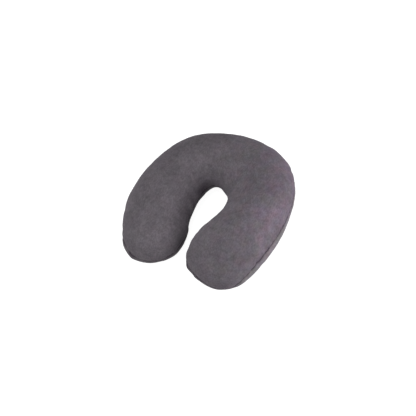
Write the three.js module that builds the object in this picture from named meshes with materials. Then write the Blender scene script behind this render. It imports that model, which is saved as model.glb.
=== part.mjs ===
// A neck pillow: a U-shaped cushion of short-pile cloth, stuffed firm, lying on its back.
// Its cover is two U-shaped panels, one above and one below, sewn together all the way round
// at half their height. The stuffing crowns both panels, and the seam stays drawn in between
// them as a groove with small gathers beside it. It flattens a little where it rests.
//
// Millimetres. X runs across the pillow, Y from the two arm ends towards the crown behind the
// neck, and Z up. The origin is the middle of the bounding box, on the resting surface.

import * as THREE from "three";

// The sections of the stuffed tube, from the end of one arm round the crown to the end of the
// other. turn is the angle round the middle of the neck, from the crown, in degrees. reach is
// how far the section's middle lies from the middle of the neck. The arms differ a little, as
// hand-stuffed ones do.
const sections = [
  { place: "end of the left arm", turn: -140, reach: 117.5, halfWidth: 61.5, halfHeight: 43.5 },
  { place: "left arm", turn: -115, reach: 99, halfWidth: 63.5, halfHeight: 44.5 },
  { place: "left side of the neck", turn: -90, reach: 88.5, halfWidth: 61, halfHeight: 44 },
  { place: "left of the crown", turn: -60, reach: 86, halfWidth: 58.5, halfHeight: 42 },
  { place: "left half of the crown", turn: -30, reach: 83, halfWidth: 53, halfHeight: 41 },
  { place: "middle of the crown", turn: 0, reach: 79.5, halfWidth: 53, halfHeight: 40 },
  { place: "right half of the crown", turn: 30, reach: 81.5, halfWidth: 59, halfHeight: 40 },
  { place: "right of the crown", turn: 60, reach: 89.5, halfWidth: 61, halfHeight: 41 },
  { place: "right side of the neck", turn: 90, reach: 92.5, halfWidth: 58.5, halfHeight: 42 },
  { place: "right arm", turn: 115, reach: 100, halfWidth: 59.5, halfHeight: 45 },
  { place: "end of the right arm", turn: 140, reach: 115.5, halfWidth: 64, halfHeight: 44.5 },
];

const stationCount = 165; // rings drawn between the two arm ends
const endRingCount = 8; // rings that round off each arm end, besides its tip
const endFullness = 2.15; // 2 rounds an arm end as an ellipse, and more makes it squarer

// Ring points over a quarter of a section, in degrees from the seam, closer beside the seam.
const quarterAngles = [0, 4, 10, 18, 29, 43, 59, 75];

const seamDepth = 3; // how far the seam draws the cover in
const seamReach = 4.5; // how far above and below the seam the groove fades

// The gathers in the cover along each stretch of the seam.
const gatherCounts = { outside: 42, inside: 13, leftEnd: 11, rightEnd: 12 };
const gatherDepth = 1.6; // how deep a gather is beside the seam
const gatherReach = 13; // how far above and below the seam the gathers fade
const gatherDrift = 0.35; // how unevenly they are spaced, as a share of their pitch

const sink = 4; // how far the pillow sinks as it rests, which flattens its underside

const lastTurn = sections[sections.length - 1].turn;
const columns = new THREE.CubicInterpolant(
  sections.map((row) => row.turn),
  sections.flatMap((row) => [row.reach, row.halfWidth, row.halfHeight]),
  3,
);

// The section at a turn: its middle in plan, how far it reaches to each side, and up and down.
function sectionAt(turn) {
  const [reach, halfWidth, halfHeight] = columns.evaluate(turn);
  const angle = THREE.MathUtils.degToRad(turn);
  const middle = new THREE.Vector2(Math.sin(angle), Math.cos(angle)).multiplyScalar(reach);
  return { middle, halfWidth, halfHeight };
}

// The direction of the centreline at a turn, towards the end of the right arm.
function headingAt(turn) {
  const step = 0.5;
  const before = sectionAt(Math.max(turn - step, -lastTurn)).middle;
  const after = sectionAt(Math.min(turn + step, lastTurn)).middle;
  return after.sub(before).normalize();
}

// A ring that stands square to the centreline. To round an arm's end off, endShare moves the
// ring on from the last section, 0, to the tip, 1, while it shrinks.
function ringAt(turn, endShare = 0) {
  const { middle, halfWidth, halfHeight } = sectionAt(turn);
  const heading = headingAt(turn);
  const angle = (endShare * Math.PI) / 2;
  const onward = halfWidth * Math.sin(angle) ** (2 / endFullness) * Math.sign(turn);
  const shrink = Math.cos(angle) ** (2 / endFullness);
  return {
    turn,
    endShare,
    core: middle,
    middle: middle.clone().addScaledVector(heading, onward),
    outwards: new THREE.Vector2(-heading.y, heading.x),
    halfWidth: halfWidth * shrink,
    halfHeight: halfHeight * shrink,
    seamHeight: halfHeight - sink,
  };
}

// All rings from the left arm's end to the right arm's, between the two tips.
function allRings() {
  const leftEnd = [];
  const rightEnd = [];
  for (let i = 1; i <= endRingCount; i++) {
    leftEnd.unshift(ringAt(-lastTurn, i / (endRingCount + 1)));
    rightEnd.push(ringAt(lastTurn, i / (endRingCount + 1)));
  }
  const between = Array.from({ length: stationCount }, (_, i) =>
    ringAt(THREE.MathUtils.lerp(-lastTurn, lastTurn, i / (stationCount - 1))),
  );
  return [...leftEnd, ...between, ...rightEnd];
}

// The angles round a section, from the outer seam over the top to the inner seam and on below.
function ringAngles() {
  const up = [...quarterAngles, 90];
  const over = [...up, ...quarterAngles.slice(1).map((angle) => 180 - angle).reverse()];
  const round = [...over, ...over.map((angle) => angle + 180)];
  return round.map((angle) => THREE.MathUtils.degToRad(angle));
}

// How deep the cover is gathered at a share of one stretch of the seam, 0 where it ends. Slow
// waves along the stretch make the gathers uneven, in their spacing and in their depth.
function gather(share, count) {
  const circle = 2 * Math.PI * share;
  const drift = gatherDrift * (Math.sin(3 * circle) + Math.sin(7 * circle));
  const depth = 0.7 + 0.3 * Math.sin(5 * circle);
  return depth * (0.5 - 0.5 * Math.cos(count * circle + drift * 2 * Math.PI));
}

// The gather beside a point of a ring: along the seam's outer or inner side, or round an end.
function gatherBeside(ring, plan) {
  const fromCore = plan.clone().sub(ring.core);
  if (ring.endShare > 0) {
    const count = ring.turn < 0 ? gatherCounts.leftEnd : gatherCounts.rightEnd;
    return gather(fromCore.angleTo(ring.outwards) / Math.PI, count);
  }
  const onOutside = fromCore.dot(ring.outwards) > 0;
  const share = (ring.turn + lastTurn) / (2 * lastTurn);
  return gather(share, onOutside ? gatherCounts.outside : gatherCounts.inside);
}

// The underside flattens smoothly onto the surface, and lies on it at exactly height 0.
function settled(height) {
  const soft = sink / 2;
  if (height >= soft) return height;
  return height <= -soft ? 0 : (height + soft) ** 2 / (4 * soft);
}

// A point of the cover: on the stuffed section, but drawn in at the seam and its gathers.
function coverPoint(ring, angle) {
  const plan = ring.middle.clone();
  plan.addScaledVector(ring.outwards, ring.halfWidth * Math.cos(angle));
  const aboveSeam = ring.halfHeight * Math.sin(angle);
  const groove = seamDepth * Math.exp(-((aboveSeam / seamReach) ** 2));
  const fade = Math.exp(-((aboveSeam / gatherReach) ** 2));
  const pleat = gatherDepth * gatherBeside(ring, plan) * fade;
  const inwards = ring.core.clone().sub(plan).normalize();
  plan.addScaledVector(inwards, groove + pleat);
  return new THREE.Vector3(plan.x, plan.y, settled(ring.seamHeight + aboveSeam));
}

// The whole cover: a tip, the rings, and the other tip, joined by closed bands of faces.
function pillowGeometry() {
  const rings = allRings();
  const angles = ringAngles();
  const points = [coverPoint(ringAt(-lastTurn, 1), 0)];
  for (const ring of rings) {
    for (const angle of angles) points.push(coverPoint(ring, angle));
  }
  points.push(coverPoint(ringAt(lastTurn, 1), 0));

  const at = (ring, corner) => 1 + ring * angles.length + (corner % angles.length);
  const firstTip = 0;
  const lastTip = points.length - 1;
  const lastRing = rings.length - 1;
  const faces = [];
  for (let corner = 0; corner < angles.length; corner++) {
    faces.push(firstTip, at(0, corner + 1), at(0, corner));
    for (let ring = 0; ring < lastRing; ring++) {
      faces.push(at(ring, corner), at(ring, corner + 1), at(ring + 1, corner));
      faces.push(at(ring + 1, corner), at(ring, corner + 1), at(ring + 1, corner + 1));
    }
    faces.push(at(lastRing, corner), at(lastRing, corner + 1), lastTip);
  }
  const geometry = new THREE.BufferGeometry().setFromPoints(points);
  geometry.setIndex(faces);
  geometry.computeVertexNormals();
  return geometry;
}

// The origin goes to the middle of the pillow's box, on the resting surface.
function centredOnItsBox(geometry) {
  geometry.computeBoundingBox();
  const middle = geometry.boundingBox.getCenter(new THREE.Vector3());
  return geometry.translate(-middle.x, -middle.y, 0);
}

const velour = new THREE.MeshStandardMaterial({ color: 0x615b61, roughness: 0.95, metalness: 0 });

const pillow = new THREE.Mesh(centredOnItsBox(pillowGeometry()), velour);
pillow.name = "neck_pillow";

const group = new THREE.Group();
group.add(pillow);

export default group;
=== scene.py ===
import math

import bpy
import numpy as np
from mathutils import Matrix, Vector, kdtree, noise


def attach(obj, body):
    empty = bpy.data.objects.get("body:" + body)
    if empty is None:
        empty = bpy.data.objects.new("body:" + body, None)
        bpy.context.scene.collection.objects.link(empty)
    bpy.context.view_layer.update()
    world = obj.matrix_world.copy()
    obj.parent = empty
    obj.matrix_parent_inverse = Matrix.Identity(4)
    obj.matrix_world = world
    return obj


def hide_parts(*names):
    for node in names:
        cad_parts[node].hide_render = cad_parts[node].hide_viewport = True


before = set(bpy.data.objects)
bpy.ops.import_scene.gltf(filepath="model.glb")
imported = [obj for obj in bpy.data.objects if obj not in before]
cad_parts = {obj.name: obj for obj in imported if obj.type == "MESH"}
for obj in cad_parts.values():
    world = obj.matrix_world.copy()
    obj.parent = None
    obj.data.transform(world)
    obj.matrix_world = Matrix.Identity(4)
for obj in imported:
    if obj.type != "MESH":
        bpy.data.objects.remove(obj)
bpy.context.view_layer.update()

scene = bpy.context.scene

# Camera. It stands over the right arm's outer side, far enough off for a mild perspective, and
# is turned about its own line of sight, so the pillow's two arms point to the lower left.
azimuth = math.radians(58.6)
elevation = math.radians(54.0)
roll = math.radians(-35.45)
distance = 1.66
looks_at = Vector((0.0033, -0.0097, 0.0410))
away = Vector((
    math.sin(azimuth) * math.cos(elevation),
    -math.cos(azimuth) * math.cos(elevation),
    math.sin(elevation),
))
level = Vector((math.cos(azimuth), math.sin(azimuth), 0))
upright = away.cross(level)
sideways = math.cos(roll) * level + math.sin(roll) * upright
upwards = math.cos(roll) * upright - math.sin(roll) * level
bpy.ops.object.camera_add()
camera = bpy.context.object
camera.name = "camera"
turned = Matrix((sideways, upwards, away)).transposed().to_4x4()
camera.matrix_world = Matrix.Translation(looks_at + distance * away) @ turned
camera.data.sensor_width = 36
camera.data.lens = 81.5
scene.camera = camera

# Studio. A white floor that glows a little, as a light table does, and a white backdrop all
# round. Neither throws light on the pillow. Soft lamps do, from above and from the right.
scene.view_settings.view_transform = "Standard"
surround = bpy.data.worlds.new("surround")
surround.use_nodes = True
surround_sockets = surround.node_tree.nodes["Background"].inputs
surround_sockets["Color"].default_value = (1, 1, 1, 1)
surround_sockets["Strength"].default_value = 0.48
scene.world = surround
for name, stands_at, size, watts, tint in (
    ("lamp_above", (0.0, 0.0, 1.5), 1.5, 11.4, (1.0, 1.0, 1.0)),
    ("lamp_front", (1.25, -0.55, 0.5), 0.8, 9.0, (1.0, 0.96, 1.0)),
    ("lamp_right", (0.88, 0.2, 0.12), 0.22, 5.6, (1.0, 0.97, 1.0)),
    ("lamp_left", (-1.05, -0.7, 0.5), 0.8, 4.2, (1.0, 1.0, 1.0)),
):
    bpy.ops.object.light_add(type="AREA", location=stands_at)
    lamp = bpy.context.object
    lamp.name = name
    lamp.visible_camera = False
    lamp.data.shape = "DISK"
    lamp.data.size = size
    lamp.data.energy = watts
    lamp.data.color = tint
    lamp.rotation_euler = (looks_at - Vector(stands_at)).to_track_quat("-Z", "Y").to_euler()
bpy.ops.mesh.primitive_plane_add(size=11)
floor = bpy.context.object
floor.name = "floor"
bpy.ops.mesh.primitive_uv_sphere_add(radius=7.5)
backdrop = bpy.context.object
backdrop.name = "backdrop"
for stage, shade, glow in ((floor, 0.25, 0.94), (backdrop, 0.0, 1.0)):
    paint = bpy.data.materials.new("white_" + stage.name)
    paint.use_nodes = True
    paint_sockets = paint.node_tree.nodes["Principled BSDF"].inputs
    paint_sockets["Base Color"].default_value = (shade, shade, shade, 1)
    paint_sockets["Roughness"].default_value = 1.0
    paint_sockets["Emission Color"].default_value = (1, 1, 1, 1)
    paint_sockets["Emission Strength"].default_value = glow
    stage.data.materials.append(paint)
    stage.visible_diffuse = False
    stage.visible_glossy = False
backdrop.visible_shadow = False

# Cover. Two U-shaped panels of short-pile velour, one above and one below, are sewn together
# all the way round and stuffed firm with fibre. The stuffing crowns both panels, and the seam
# holds them in, so it lies in a groove with small uneven gathers beside it.
MM = 0.001
# Each row is a section of the stuffed tube: the turn round the neck from the crown in degrees,
# and the reach of the tube's middle, its half width and its half height in mm.
sections = np.array([
    (-140, 117.5, 61.5, 43.5),
    (-115, 99.0, 63.5, 44.5),
    (-90, 88.5, 61.0, 44.0),
    (-60, 86.0, 58.5, 42.0),
    (-30, 83.0, 53.0, 41.0),
    (0, 79.5, 53.0, 40.0),
    (30, 81.5, 59.0, 40.0),
    (60, 89.5, 61.0, 41.0),
    (90, 92.5, 58.5, 42.0),
    (115, 100.0, 59.5, 45.0),
    (140, 115.5, 64.0, 44.5),
]) * (1, MM, MM, MM)
last_turn = sections[-1, 0]
neck_middle = np.array([0.828, 10.427]) * MM  # from the middle of the pillow's box
end_fullness = 2.15  # 2 rounds an arm's end as an ellipse, and more makes it squarer
sink = 4 * MM  # how far the pillow sinks as it rests, which flattens its underside


def section_at(turn):
    """Reach, half width and half height at each turn, eased between the rows of the table."""
    known = sections[:, 0]
    row = np.clip(np.searchsorted(known, turn, side="right") - 1, 0, len(known) - 2)
    span = (known[row + 1] - known[row])[:, None]
    share = (turn - known[row])[:, None] / span
    values = sections[:, 1:]
    slopes = np.gradient(values, known, axis=0)
    return (
        (1 + 2 * share) * (1 - share) ** 2 * values[row]
        + share * (1 - share) ** 2 * span * slopes[row]
        + share**2 * (3 - 2 * share) * values[row + 1]
        + share**2 * (share - 1) * span * slopes[row + 1]
    )


def middle_at(turn):
    """The tube's middle in plan at each turn."""
    angle = np.radians(turn)
    return neck_middle + section_at(turn)[:, :1] * np.stack([np.sin(angle), np.cos(angle)], 1)


# The cover is laid out in half rings, each from the top line over the seam to the underside.
# They follow each other along the outer side, round the right arm's end, back along the inner
# side, and round the left arm's end.
side_count = 465  # half rings along the outer side, and as many along the inner side
end_count = 116  # steps round each arm's end
panel_count = 40  # rows from the seam up to the top line, and as many down
crowding = 1.35  # 1 spaces the rows evenly, and more brings them closer beside the seam
columns = 2 * (side_count + end_count - 1)
rows = 2 * panel_count + 1
seam_row = panel_count
outer_side = slice(0, side_count)
right_end = slice(side_count, side_count + end_count - 1)
inner_side = slice(right_end.stop, right_end.stop + side_count)
left_end = slice(inner_side.stop, columns)

turns = np.linspace(-last_turn, last_turn, side_count)
half_step = 0.5  # degrees on each side of a turn, to tell which way the tube heads there
ahead = middle_at(np.minimum(turns + half_step, last_turn))
ahead -= middle_at(np.maximum(turns - half_step, -last_turn))
ahead /= np.linalg.norm(ahead, axis=1)[:, None]
outwards = np.stack([-ahead[:, 1], ahead[:, 0]], 1)
middles = middle_at(turns)
_, half_widths, half_heights = section_at(turns).T

end_angles = np.pi * np.arange(1, end_count) / end_count
end_across = np.sign(np.cos(end_angles)) * np.abs(np.cos(end_angles)) ** (2 / end_fullness)
end_onward = np.sin(end_angles) ** (2 / end_fullness)
spine = np.empty((columns, 2))  # the tube's middle in plan, at each half ring
spine[outer_side] = middles
spine[right_end] = middles[-1]
spine[inner_side] = middles[::-1]
spine[left_end] = middles[0]
sideward = np.empty((columns, 2))  # from there out to the half ring's widest point
sideward[outer_side] = outwards * half_widths[:, None]
sideward[right_end] = np.outer(end_across, outwards[-1]) + np.outer(end_onward, ahead[-1])
sideward[right_end] *= half_widths[-1]
sideward[inner_side] = -sideward[outer_side][::-1]
sideward[left_end] = -np.outer(end_across, outwards[0]) - np.outer(end_onward, ahead[0])
sideward[left_end] *= half_widths[0]
heights = np.empty(columns)
heights[outer_side] = half_heights
heights[right_end] = half_heights[-1]
heights[inner_side] = half_heights[::-1]
heights[left_end] = half_heights[0]

# The way round the pillow, by which the tables below give their places: 0 to 1 along the outer
# side from the left arm to the right, to 2 round the right arm's end, to 3 back along the inner
# side, and to 4 round the left arm's end.
way = np.empty(columns)
way[outer_side] = np.linspace(0, 1, side_count)
way[right_end] = 1 + np.arange(1, end_count) / end_count
way[inner_side] = np.linspace(2, 3, side_count)
way[left_end] = 3 + np.arange(1, end_count) / end_count

# The seam's course: the way round, the seam's angle above half height in degrees, its groove's
# half width and the fullness of the lip over it in mm, how much painted shade lies in its
# groove, and how strongly the cloth is gathered.
seam_course = np.array([
    (0.00, 14, 1.8, 0.2, 1.0, 1.0),
    (0.05, 2, 1.8, 0.0, 1.0, 1.0),
    (0.12, -8, 1.8, 0.0, 1.0, 1.0),
    (0.50, -10, 1.8, 0.0, 1.0, 1.0),
    (0.68, -8, 1.7, 0.0, 1.0, 1.0),
    (0.75, -5, 1.7, 0.0, 1.0, 1.0),
    (0.80, -4, 1.7, 0.0, 1.0, 1.0),
    (0.848, -1, 1.8, 0.0, 1.0, 1.0),
    (0.900, 1.5, 2.0, 0.0, 1.0, 1.0),
    (0.912, 2, 2.6, 0.0, 1.0, 1.0),
    (0.925, 3, 2.1, 0.0, 1.0, 1.0),
    (0.943, 4.5, 2.8, 0.0, 1.0, 1.0),
    (0.965, 4.5, 2.2, 0.0, 1.0, 1.0),
    (0.985, 1, 1.8, 0.0, 0.8, 1.0),
    (1.01, -3, 1.7, 0.0, 0.8, 0.6),
    (1.05, -10, 1.7, 0.0, 1.0, 0.6),
    (1.12, -14, 1.8, 0.2, 1.0, 0.5),
    (1.22, -10, 2.0, 0.6, 1.0, 0.6),
    (1.30, 3, 2.0, 0.5, 0.8, 0.8),
    (1.34, 6, 2.4, 0.5, 0.8, 0.6),
    (1.38, 9, 2.2, 0.5, 0.8, 0.6),
    (1.40, 10, 3.4, 0.5, 1.0, 0.7),
    (1.43, 11, 4.4, 0.5, 1.0, 0.7),
    (1.46, 11, 3.2, 0.5, 1.0, 0.7),
    (1.50, 11, 1.8, 0.5, 0.7, 0.7),
    (1.53, 14, 1.8, 0.5, 0.6, 0.8),
    (1.565, 19, 3.4, 0.5, 1.0, 0.8),
    (1.60, 19, 2.0, 0.4, 0.7, 0.8),
    (1.70, 11, 1.8, 0.0, 1.0, 1.0),
    (1.82, 3, 1.8, 0.0, 1.0, 1.0),
    (2.00, -4, 1.8, 0.0, 1.0, 1.0),
    (2.15, -7, 1.8, 0.0, 1.0, 0.3),
    (2.42, -9, 1.8, 0.0, 0.8, 0.3),
    (2.55, -10, 1.8, 0.0, 0.2, 1.0),
    (2.78, -10, 1.8, 0.0, 0.0, 0.6),
    (3.00, -12, 1.8, 0.0, 0.0, 0.6),
    (3.12, -13, 1.8, 0.0, 0.2, 1.2),
    (3.25, -14, 1.8, 0.2, 0.5, 1.2),
    (3.50, -10, 2.0, 0.6, 0.7, 0.7),
    (3.58, -4, 2.0, 0.5, 0.6, 0.5),
    (3.66, 6, 1.6, 0.5, 0.4, 0.5),
    (3.70, 11, 2.8, 0.5, 1.0, 0.5),
    (3.725, 13, 4.2, 0.5, 1.0, 0.6),
    (3.75, 15, 3.2, 0.5, 1.0, 0.6),
    (3.78, 17, 1.6, 0.6, 0.4, 0.5),
    (3.83, 21, 1.4, 0.6, 0.3, 0.5),
    (3.87, 24, 3.2, 0.5, 1.0, 0.6),
    (3.91, 24, 2.2, 0.5, 1.0, 0.8),
    (4.00, 14, 1.8, 0.2, 1.0, 1.0),
])
seam_lift, groove_width, lip_fullness, groove_darkness, gathered = (
    np.interp(way, seam_course[:, 0], column) for column in seam_course[:, 1:].T
)


def eased_round(values, rounds):
    """Average each half ring's value with its two neighbours', over and over."""
    for _ in range(rounds):
        values = (np.roll(values, 1) + 2 * values + np.roll(values, -1)) / 4
    return values


seam_lift = eased_round(seam_lift, rounds=60)[:, None]
rises = (np.arange(panel_count + 1) / panel_count) ** crowding
above = seam_lift + (90 - seam_lift) * rises[::-1]
below = seam_lift - (90 + seam_lift) * rises[1:]
half_rings = np.radians(np.concatenate([above, below], axis=1))
points = np.empty((columns, rows, 3))
points[..., :2] = spine[:, None] + sideward[:, None] * np.cos(half_rings)[..., None]
points[..., 2] = heights[:, None] * (1 + np.sin(half_rings)) - sink

along_step = np.roll(points, -1, axis=0) - np.roll(points, 1, axis=0)
down_step = np.gradient(points, axis=1)
normals = np.cross(along_step, down_step)
normals[:, 0] = (0, 0, 1)
normals[:, -1] = (0, 0, -1)
normals /= np.linalg.norm(normals, axis=2)[..., None]

# Stuffing. Fibre fills the cover. A slightly smaller, evenly meshed copy of the pillow is blown
# up as cloth while its seam is held, and the puckers that this gives are kept for the cover.
set_in = 3 * MM  # how much smaller the copy is, on each side
mesh_size = 4 * MM
held_within = 6.5 * MM  # of the seam
last_frame = 20
pucker_share = 0.6  # how much of each pucker the firm cover keeps
highest_pucker = 1.2 * MM
nearest_count = 6  # how many of the copy's vertices tell how far each point is puckered
puckers = np.zeros((columns, rows))
bpy.ops.object.select_all(action="DESELECT")
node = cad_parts["neck_pillow"]
stuffing = node.copy()
stuffing.data = node.data.copy()
stuffing.name = "stuffing"
scene.collection.objects.link(stuffing)
bpy.context.view_layer.objects.active = stuffing
stuffing.select_set(True)
bpy.ops.object.mode_set(mode="EDIT")
bpy.ops.mesh.select_all(action="SELECT")
bpy.ops.mesh.remove_doubles(threshold=0.01 * MM)
bpy.ops.transform.shrink_fatten(value=-set_in)
bpy.ops.object.mode_set(mode="OBJECT")
stuffing.data.remesh_voxel_size = mesh_size
bpy.ops.object.voxel_remesh()

def read_vertices(what):
    """The position or the normal of each vertex of the stuffing."""
    values = np.empty(len(stuffing.data.vertices) * 3)
    stuffing.data.vertices.foreach_get(what, values)
    return values.reshape(-1, 3)

flat = read_vertices("co")
facing = read_vertices("normal")
edges = np.empty(len(stuffing.data.edges) * 2, dtype=np.int32)
stuffing.data.edges.foreach_get("vertices", edges)
edges = edges.reshape(-1, 2)

def tree_of(places):
    """A search tree that finds the nearest of some places."""
    tree = kdtree.KDTree(len(places))
    for i, place in enumerate(places):
        tree.insert(place, i)
    tree.balance()
    return tree

seam_tree = tree_of(points[:, seam_row])
held = [i for i, place in enumerate(flat) if seam_tree.find(place)[2] < held_within]
stuffing.vertex_groups.new(name="seam").add(held, 1.0, "REPLACE")

pressure = stuffing.modifiers.new("pressure", "CLOTH")
pressure.settings.quality = 6
pressure.settings.tension_stiffness = 20
pressure.settings.compression_stiffness = 20
pressure.settings.shear_stiffness = 10
pressure.settings.bending_stiffness = 0.5
pressure.settings.use_pressure = True
pressure.settings.uniform_pressure_force = 4
pressure.settings.vertex_group_mass = "seam"
pressure.settings.shrink_min = -0.02
pressure.settings.effector_weights.gravity = 0
pressure.collision_settings.use_collision = False
for number in range(1, last_frame + 1):
    scene.frame_set(number)
bpy.ops.object.modifier_apply(modifier="pressure")
moved = ((read_vertices("co") - flat) * facing).sum(axis=1)
neighbours = np.bincount(edges.ravel(), minlength=len(flat))

def spread(values, rounds):
    """Average each vertex's value with its neighbours', over and over."""
    for _ in range(rounds):
        total = np.bincount(edges[:, 0], values[edges[:, 1]], len(flat))
        total += np.bincount(edges[:, 1], values[edges[:, 0]], len(flat))
        values = 0.5 * values + 0.5 * total / neighbours
    return values

# Only the small forms are wanted, so the broad swelling is taken off.
small_forms = pucker_share * (spread(moved, rounds=2) - spread(moved, rounds=60))
small_forms = np.clip(small_forms, -highest_pucker, highest_pucker)
stuffing_tree = tree_of(flat)
for c in range(columns):
    for r in range(rows):
        near = stuffing_tree.find_n(points[c, r], nearest_count)
        weights = np.exp([-((apart / mesh_size) ** 2) for _, _, apart in near])
        puckers[c, r] = weights @ small_forms[[i for _, i, _ in near]] / weights.sum()
bpy.data.objects.remove(stuffing)

# Seam and gathers. The plain sewn seam draws the cover in, to a narrow groove in a softer dip,
# and each panel is gathered a little differently along it.
seam_line = points[:, seam_row]
seam_steps = np.linalg.norm(np.roll(seam_line, -1, axis=0) - seam_line, axis=1)
along = np.concatenate([[0], np.cumsum(seam_steps[:-1])])
seam_length = along[-1] + seam_steps[-1]
down = np.cumsum(np.linalg.norm(np.diff(points, axis=1, prepend=points[:, :1]), axis=2), axis=1)
from_seam = down - down[:, seam_row][:, None]  # negative on the upper panel
fold_edge = 1.6  # 2 shapes a fold like a bell, and less makes it sharper
groove_depth = 2.0 * MM
dip_depth, dip_width = 0.8 * MM, 9 * MM
lip_at, lip_width = -8.5 * MM, 4 * MM
flare_over = 9 * MM  # how far from the seam a gather is twice as wide as beside it
groove = np.exp(-(np.abs(from_seam) / (groove_width[:, None] * MM)) ** fold_edge)
lip = lip_fullness[:, None] * MM * np.exp(-((from_seam - lip_at) / lip_width) ** 2)
drawn_in = groove_depth * groove + dip_depth * np.exp(-(from_seam / dip_width) ** 2) - lip

# Creases fade where the seam bends so tightly that the half rings crowd together.
no_room, full_room = 0.12 * MM, 0.32 * MM  # from one half ring to the next
roomy = (eased_round(seam_steps, rounds=20)[:, None] - no_room) / (full_room - no_room)
roomy = np.clip(roomy, 0, 1)


def gather(panel, where, deep, wide, long, slant):
    """One gather: a crease that runs from the seam into the upper panel, -1, or the lower, 1."""
    off = np.maximum(panel * from_seam, 0)
    beside = along[:, None] - where - slant * off
    beside = (beside + seam_length / 2) % seam_length - seam_length / 2
    flared = wide * (1 + off / flare_over)
    crease = np.exp(-np.abs(beside / flared) ** fold_edge - (off / long) ** fold_edge)
    return np.where(panel * from_seam >= 0, deep * crease, 0)


left_inner_from, left_inner_to = 2.4, 3.4  # the way round, by the left arm's inner side
smallest, closest = 0.8, 0.9  # weak gathers shrink and close up no further than this
creased = np.zeros((columns, rows))
dice = np.random.default_rng(7)
for panel in (-1, 1):
    where = dice.uniform(0, 10 * MM)
    while where < seam_length:
        more = np.interp(where, along, gathered)
        if panel > 0 and left_inner_from < np.interp(where, along, way) < left_inner_to:
            more = 0.4
        creased += gather(
            panel,
            where,
            deep=dice.uniform(0.4, 2.0) * more * MM,
            wide=dice.uniform(1.6, 2.8) * max(more, smallest) * MM,
            long=dice.uniform(4, 13) * max(more, smallest) * MM,
            slant=dice.uniform(-0.4, 0.4),
        )
        where += dice.uniform(7, 16) * MM * max(more, closest)
creased *= roomy

# The gathers that show most, and ridges between them where the depth is below zero: the way
# round, the panel, the depth, half width and length in mm, and the slant.
for at, panel, deep, wide, long, slant in (
    (0.885, 1, 1.2, 2.4, 12, 0.0),
    (0.910, 1, 1.8, 2.4, 12, 0.0),
    (0.923, 1, -0.8, 3.0, 10, 0.0),
    (0.936, 1, 1.8, 2.4, 12, 0.0),
    (0.948, 1, -0.8, 3.0, 10, 0.0),
    (0.960, 1, 1.8, 2.4, 12, 0.0),
    (0.980, 1, 1.4, 2.4, 10, 0.0),
    (1.070, -1, 0.4, 4.0, 20, 0.0),
    (1.160, -1, 0.6, 4.5, 22, 0.0),
    (2.715, -1, 1.6, 8.0, 26, 0.1),
    (2.700, 1, 0.8, 7.0, 12, 0.0),
    (2.873, -1, 2.4, 2.2, 34, -0.6),
    (2.912, -1, -1.6, 4.0, 30, -0.5),
    (2.948, -1, 2.0, 3.0, 28, -0.5),
    (3.190, -1, 2.0, 7.0, 22, 0.0),
    (3.255, -1, 1.6, 3.5, 24, 0.0),
    (3.255, 1, 1.2, 3.5, 12, 0.0),
    (3.380, -1, 1.2, 4.0, 8, 0.0),
):
    creased += gather(panel, np.interp(at, way, along), deep * MM, wide * MM, long * MM, slant)
drawn_in += creased

# Hollows beside the seam, and a painted highlight, as on a ridge of cloth, over some of them:
# the way round, how far below the seam, the half width, half height and depth in mm, how much
# painted shade lies in the hollow, and how strong the painted highlight over it is.
ridge_gap, ridge_high = 2.5, 2.2  # mm
ridge_wide = 1.2  # times as wide as the hollow
hollow_shade = np.zeros((columns, rows))
ridge_highlight = np.zeros((columns, rows))
for at, low, wide, high, deep, dark, light in (
    (1.430, 0.0, 9, 5.5, 0.0, 0.4, 0.4),
    (1.565, 0.0, 7, 5.0, 0.0, 0.25, 0.25),
    (2.715, -6.0, 13, 13.0, 0.3, 0.7, 0.0),
    (3.370, 2.0, 10, 4.0, 0.3, 0.3, 0.0),
    (3.565, -2.0, 9, 5.0, 0.4, 0.4, 0.4),
    (3.725, 0.0, 8, 6.0, 0.0, 0.6, 0.6),
    (3.870, 0.0, 7, 4.5, 0.0, 0.5, 0.5),
):
    beside = (along[:, None] - np.interp(at, way, along)) / (wide * MM)
    lower = from_seam / MM - low
    hollow = np.exp(-np.abs(beside) ** 3 - np.abs(lower / high) ** 3)
    ridge = np.exp(-(beside / ridge_wide) ** 4 - ((lower + high + ridge_gap) / ridge_high) ** 2)
    drawn_in += deep * MM * hollow
    hollow_shade = np.maximum(hollow_shade, dark * hollow)
    ridge_highlight = np.maximum(ridge_highlight, light * ridge)

# Painted shade: how dark the cover is painted in the seam, the gathers and the hollows, and on
# the left arm's inner side, its wall, where the two arms shade each other. 0 is none of the
# shade and 1 all of it.
wall_middle, wall_reach = 2.76, 0.42  # the way round
wall_darkness = 0.16
wall_shade_reach = 38 * MM  # from the seam
crease_reach = np.where(way > left_inner_from, 20 * MM, 10 * MM)[:, None]
crease_darkness = 0.14  # for each mm of depth
darkest_crease, darkest_on_wall = 0.8, 0.4
on_wall = np.clip(1 - np.abs(way - wall_middle) / wall_reach, 0, 1)[:, None]
wall_shade = wall_darkness * on_wall * np.exp(-(from_seam / wall_shade_reach) ** 2)
darkest = darkest_crease + (darkest_on_wall - darkest_crease) * on_wall
crease_shade = crease_darkness * creased / MM * np.exp(-(from_seam / crease_reach) ** 2)
crease_shade = np.clip(crease_shade, 0, darkest)
groove_shade = groove * groove_darkness[:, None]
unshaded = (1 - groove_shade) * (1 - crease_shade) * (1 - hollow_shade) * (1 - wall_shade)
seam_shade = 1 - unshaded
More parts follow.
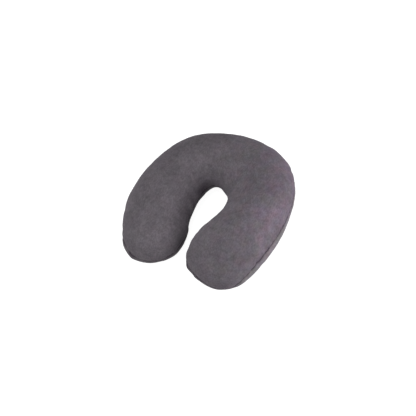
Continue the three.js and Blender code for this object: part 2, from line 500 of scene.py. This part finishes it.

# Painted light: how much lighter the cover is painted below the seam, most of all on the right
# arm's outer side, and painted highlights on the ridges beside the hollows and between the
# gathers.
light_starts, light_reach = 1.5 * MM, 30 * MM  # below the seam
most_lit, lit_within = 0.85, 0.25  # the way round
least_light = 0.35
ridge_brightening, gather_brightening = 0.9, 0.4
painted_light = np.clip(from_seam / light_starts, 0, 1) * np.exp(-(from_seam / light_reach) ** 2)
more_light = np.exp(-((way - most_lit) / lit_within) ** 2)[:, None]
painted_light *= least_light + (1 - least_light) * more_light
painted_light += ridge_brightening * ridge_highlight + gather_brightening * np.clip(-creased / MM, 0, 2)


def patches(table):
    """Soft round patches: the place and the spread of each in mm, and how strong it is."""
    total = np.zeros((columns, rows))
    for x, y, z, spread_over, strength in table:
        apart = np.linalg.norm(points - np.array((x, y, z)) * MM, axis=2)
        total += strength * np.exp(-(apart / (spread_over * MM)) ** 2)
    return total


# Where the fibre is packed fuller and pushes the cover out, or slacker below zero, in mm.
packed = MM * patches((
    # the right arm's end
    (22, -108, 58, 12, 2.2),
    (22, -110, 60, 11, 1.1),
    (28, -124, 51, 14, 5.8),
    (30, -126, 51, 8, 0.8),
    (36, -130, 46, 12, 0.6),
    (50, -136, 48, 8, 0.8),
    (52, -138, 46, 12, 1.8),
    (108, -131, 34, 18, 1.4),
    (110, -133, 41, 12, 0.7),
    (121, -116, 26, 14, 0.8),
    # the right arm's outer side, then its inner side
    (112, -98, 22, 20, 1.2),
    (128, -62, 22, 22, 1.4),
    (140, -20, 22, 22, 1.2),
    (38, -40, 68, 16, 2.1),
    # the crown's outer side, then its inner side
    (107, 109, 30, 28, 2.0),
    (72, 129, 44, 20, 1.0),
    (-45, 130, 56, 22, -0.8),
    (-88, 105, 62, 18, 0.6),
    (24, 46, 64, 8, 0.7),
    (11, 44, 60, 8, -0.7),
    (8, 35, 29, 12, 0.9),
    (-1, 38, 37, 10, 0.5),
    # the left arm's outer side, then its inner side
    (-123, 56, 66, 25, -1.0),
    (-130, 31, 68, 16, 0.5),
    (-141, -26, 66, 12, 0.7),
    (-142, -45, 63, 14, 0.8),
    (-30, 20, 24, 16, 1.0),
    (-32, -20, 24, 18, 1.0),
    (-21, -55, 28, 14, 0.4),
    (-23, -55, 27, 14, 1.6),
    (-38, -60, 24, 16, 0.8),
    (-27, -100, 14, 14, 1.0),
    # the left arm's end
    (-126, -107, 54, 24, -1.5),
    (-114, -118, 52, 14, 1.2),
    (-98, -132, 55, 10, -1.0),
    (-89, -140, 43, 14, 2.2),
    (-58, -137, 36, 16, 0.6),
))

# Patches of painted light, and painted shade below zero, among them the lit and the shaded side
# of a fold on the crown.
shade_and_light_patches = 1 + patches((
    # the right arm
    (46, -62, 80, 32, 0.16),
    (64, -14, 79, 18, 0.13),
    (48, 37, 70, 16, 0.07),
    (70, -113, 78, 15, 0.08),
    (107, -100, 74, 34, -0.22),
    (127, -85, 66, 16, -0.09),
    (114, 22, 77, 15, -0.1),
    # the crown
    (101, 63, 75, 28, -0.17),
    (17, 97, 75, 24, 0.12),
    (24, 45, 63, 8, 0.14),
    (12, 43, 59, 8, -0.12),
    # the left arm
    (-70, 24, 81, 28, -0.12),
    (-49, -15, 74, 20, -0.16),
    (-34, -107, 66, 20, 0.2),
))

# The fibre is a little lumpy all over, in broad lumps with smaller ones on them.
lump_height = 0.6 * MM
broad, small = 55 * MM, 24 * MM
small_share = 0.4
lumps = lump_height * np.array([
    noise.noise(Vector(point) / broad) + small_share * noise.noise(Vector(point) / small)
    for point in points.reshape(-1, 3)
]).reshape(columns, rows)
points += normals * ((puckers + lumps) * roomy + packed - drawn_in)[..., None]

# The underside flattens smoothly onto the surface.
soft = sink / 2  # how far above and below the surface the flattening is eased
z = points[..., 2]
points[..., 2] = np.where(z >= soft, z, np.where(z <= -soft, 0, (z + soft) ** 2 / (4 * soft)))

# The outer and the inner half rings meet in one line on top, and in one underneath.
for row in (0, rows - 1):
    line = (points[outer_side, row] + points[inner_side, row][::-1]) / 2
    points[outer_side, row] = line
    points[right_end, row] = line[-1]
    points[inner_side, row] = line[::-1]
    points[left_end, row] = line[0]

faces = []
for c in range(columns):
    this, following = c * rows, (c + 1) % columns * rows
    for r in range(rows - 1):
        faces.append((this + r, this + r + 1, following + r + 1, following + r))
cover_mesh = bpy.data.meshes.new("neck_pillow_cover")
cover_mesh.from_pydata(points.reshape(-1, 3).tolist(), [], faces)
for name, values in (
    ("seam_shade", seam_shade),
    ("painted_light", painted_light),
    ("shade_and_light_patches", shade_and_light_patches),
):
    cover_mesh.attributes.new(name, "FLOAT", "POINT").data.foreach_set("value", values.ravel())
cover = bpy.data.objects.new("neck_pillow_cover", cover_mesh)
scene.collection.objects.link(cover)
bpy.ops.object.select_all(action="DESELECT")
bpy.context.view_layer.objects.active = cover
cover.select_set(True)
bpy.ops.object.mode_set(mode="EDIT")
bpy.ops.mesh.select_all(action="SELECT")
bpy.ops.mesh.remove_doubles(threshold=0.001 * MM)
bpy.ops.mesh.normals_make_consistent(inside=False)
bpy.ops.mesh.faces_shade_smooth()
bpy.ops.object.mode_set(mode="OBJECT")

# Velour. A grey-mauve cloth with a short brushed pile, matte with a soft sheen. The dye is a
# little uneven, and the pile lies this way and that, so the grey is mottled.
velour = bpy.data.materials.new("velour")
velour.use_nodes = True
nodes, links = velour.node_tree.nodes, velour.node_tree.links
shader = nodes["Principled BSDF"]
shader.inputs["Sheen Weight"].default_value = 0.1
shader.inputs["Sheen Roughness"].default_value = 0.5
shader.inputs["Sheen Tint"].default_value = (0.80, 0.70, 0.86, 1)
shader.inputs["Specular IOR Level"].default_value = 0.2
on_cover = nodes.new("ShaderNodeTexCoord").outputs["Object"]


def cloth_noise(scale, detail, stretch=(1, 1, 1)):
    """Uneven patches all over the cloth, smaller for a larger scale."""
    mapping = nodes.new("ShaderNodeMapping")
    mapping.inputs["Scale"].default_value = stretch
    links.new(on_cover, mapping.inputs["Vector"])
    texture = nodes.new("ShaderNodeTexNoise")
    texture.inputs["Scale"].default_value = scale
    texture.inputs["Detail"].default_value = detail
    links.new(mapping.outputs["Vector"], texture.inputs["Vector"])
    return texture.outputs["Fac"]


def towards(direction):
    """How far each point lies from the middle of the pillow in a direction, in metres."""
    dot = nodes.new("ShaderNodeVectorMath")
    dot.operation = "DOT_PRODUCT"
    dot.inputs[1].default_value = direction
    links.new(on_cover, dot.inputs[0])
    return dot.outputs["Value"]


def from_mesh(name):
    """A value that the cover's mesh holds at each point."""
    attribute = nodes.new("ShaderNodeAttribute")
    attribute.attribute_name = name
    return attribute.outputs["Fac"]


def ranged(value, low, high, start=0.3, end=0.7):
    """Low where the value is at the start, high where it is at the end, and even between."""
    span = nodes.new("ShaderNodeMapRange")
    span.inputs["From Min"].default_value = start
    span.inputs["From Max"].default_value = end
    span.inputs["To Min"].default_value = low
    span.inputs["To Max"].default_value = high
    links.new(value, span.inputs["Value"])
    return span.outputs["Result"]


def two_tone(value, first, second, start=0.32, end=0.68):
    """One colour where the value is low and another where it is high, blended between."""
    ramp = nodes.new("ShaderNodeValToRGB")
    low, high = ramp.color_ramp.elements
    low.position, low.color = start, first
    high.position, high.color = end, second
    links.new(value, ramp.inputs["Fac"])
    return ramp.outputs["Color"]


def blended(colour, other, how="MULTIPLY", share=None):
    """A colour with another one laid over it, all over or by a share."""
    mix = nodes.new("ShaderNodeMix")
    mix.data_type = "RGBA"
    mix.blend_type = how
    mix.inputs["Factor"].default_value = 1
    if share is not None:
        links.new(share, mix.inputs["Factor"])
    for value, socket in ((colour, mix.inputs["A"]), (other, mix.inputs["B"])):
        if isinstance(value, tuple):
            socket.default_value = value
        else:
            links.new(value, socket)
    return mix.outputs["Result"]


# The dye, which varies in hue more towards the right arm.
rightwards = towards((1, 0.35, 0))
uneven = ranged(rightwards, 0.25, 1.0, start=-0.01, end=0.11)
dark_grey, light_grey = (0.083, 0.0745, 0.083, 1), (0.102, 0.091, 0.102, 1)
greener, mauver = (0.955, 1.03, 0.975, 1), (1.05, 0.96, 1.045, 1)
bluer, warmer = (0.965, 1.0, 1.045, 1), (1.035, 1.0, 0.965, 1)
greys = two_tone(cloth_noise(scale=34, detail=3), dark_grey, light_grey)
hues = two_tone(cloth_noise(scale=48, detail=3), greener, mauver)
casts = two_tone(cloth_noise(scale=62, detail=2), bluer, warmer)
dyed = blended(blended(greys, hues, share=uneven), casts, share=uneven)

# The pile, in flecks and in single tufts, then patches of painted light and shade. A painted
# purple sheen lies at the far right, painted light below the seam and on the ridges, and painted
# shade at the back of the crown.
flecks = ranged(cloth_noise(scale=115, detail=4), 0.87, 1.13)
tufts = cloth_noise(scale=420, detail=2, stretch=(1, 0.6, 1))
piled = blended(blended(dyed, flecks), ranged(tufts, 0.83, 1.17))
piled = blended(piled, from_mesh("shade_and_light_patches"))
# A painted purple sheen at the far right.
painted_sheen = (1.02, 0.955, 1.02, 1)
far_right = ranged(rightwards, 0, 1, start=0.08, end=0.14)
piled = blended(piled, painted_sheen, share=far_right)
# Painted light below the seam, and painted highlights on the ridges.
painted_light_colour = (1.37, 1.48, 1.31, 1)
piled = blended(piled, painted_light_colour, share=from_mesh("painted_light"))
# Painted shade, darker towards the back of the crown.
backwards = towards((-0.5, 0.87, 0))
piled = blended(piled, ranged(backwards, 1.0, 0.885, start=0.03, end=0.11))

# The painted shade in the seam, its gathers, its hollows and on the left arm's inner wall.
deep_shade = (0.024, 0.0155, 0.025, 1)
shaded_in = ranged(from_mesh("seam_shade"), 0, 0.85, start=0, end=1)
shaded = blended(piled, deep_shade, how="MIX", share=shaded_in)
links.new(shaded, shader.inputs["Base Color"])
links.new(ranged(tufts, 0.85, 1.0, start=0, end=1), shader.inputs["Roughness"])
bump = nodes.new("ShaderNodeBump")
bump.inputs["Strength"].default_value = 0.35
bump.inputs["Distance"].default_value = 0.5 * MM
links.new(tufts, bump.inputs["Height"])
links.new(bump.outputs["Normal"], shader.inputs["Normal"])

cover.data.materials.append(velour)
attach(cover, "root")
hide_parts("neck_pillow")
